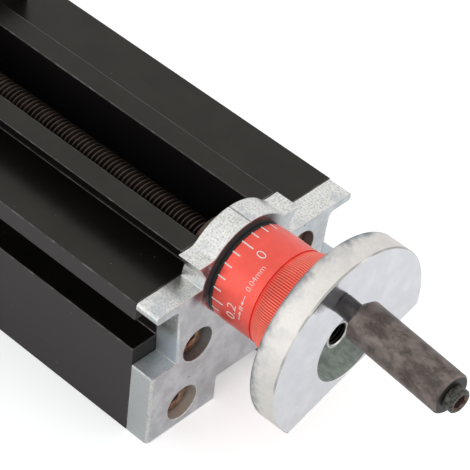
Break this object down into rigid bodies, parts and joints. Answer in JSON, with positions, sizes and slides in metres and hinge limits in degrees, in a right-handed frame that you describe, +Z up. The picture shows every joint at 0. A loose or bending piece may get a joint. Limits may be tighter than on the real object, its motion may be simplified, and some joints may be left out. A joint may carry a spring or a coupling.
{
  "type": "cross slide",
  "caption": "Dovetail cross slide: bed, lead screw, gibbed saddle, graduated dial and cranked handwheel with a turning grip.",
  "frame": {"origin": "middle of the bed's underside, at the centre of its four hold-down holes", "axes": "+X along the lead screw towards the handwheel, +Z up, +Y completes a right-handed frame"},
  "size_m": [0.2136, 0.05, 0.0489],
  "materials": {
    "black_anodised": "black anodised, satin",
    "cast_plate": "die-cast, bright, lightly mottled",
    "screw_steel": "plain steel",
    "bronze": "machined bronze",
    "black_washer": "black, matt",
    "dark_steel": "dark oiled steel",
    "plated_wheel": "die-cast, turned face",
    "black_oxide": "black oxide, satin",
    "red_anodised": "red anodised, satin, white graduations"
  },
  "bodies": {
    "base": {"bed_rail": "black_anodised", "front_end_plate": "cast_plate", "rear_end_plate": "cast_plate", "front_plate_screws": "screw_steel", "rear_plate_screws": "screw_steel", "front_bearing_bush": "bronze", "rear_bearing_bush": "bronze", "thrust_washer": "black_washer"},
    "screw": {"lead_screw": "dark_steel", "thrust_collar": "dark_steel", "collar_set_screw": "dark_steel", "handwheel": "plated_wheel", "wheel_drive_pin": "screw_steel", "dial_spring": "screw_steel", "crank_pin": "black_oxide", "grip_end_screw": "black_oxide"},
    "dial": {"graduated_dial": "red_anodised"},
    "grip": {"grip_sleeve": "black_oxide"},
    "saddle": {"saddle_block": "black_anodised", "gib_strip": "bronze", "gib_screws": "screw_steel", "gib_lock_nuts": "screw_steel", "lead_nut": "bronze", "lead_nut_screws": "screw_steel"}
  },
  "joints": [
    {"name": "screw_turn", "type": "hinge", "parent": "base", "child": "screw", "pos_m": [0, -0.0028, 0.03], "axis": [1, 0, 0], "range_deg": [-7920, 25200]},
    {"name": "saddle_slide", "type": "slide", "parent": "base", "child": "saddle", "axis": [1, 0, 0], "range_m": [-0.022, 0.07]},
    {"name": "dial_turn", "type": "hinge", "parent": "screw", "child": "dial", "pos_m": [0.08135, -0.0028, 0.03], "axis": [1, 0, 0], "continuous": true},
    {"name": "grip_turn", "type": "hinge", "parent": "screw", "child": "grip", "pos_m": [0.1046, -0.00666, 0.04189], "axis": [0.9967, -0.0771, -0.0251], "continuous": true}
  ],
  "couplings": [
    {"joint": "screw_turn", "follows": "saddle_slide", "rad_per_m": 6283.2}
  ]
}
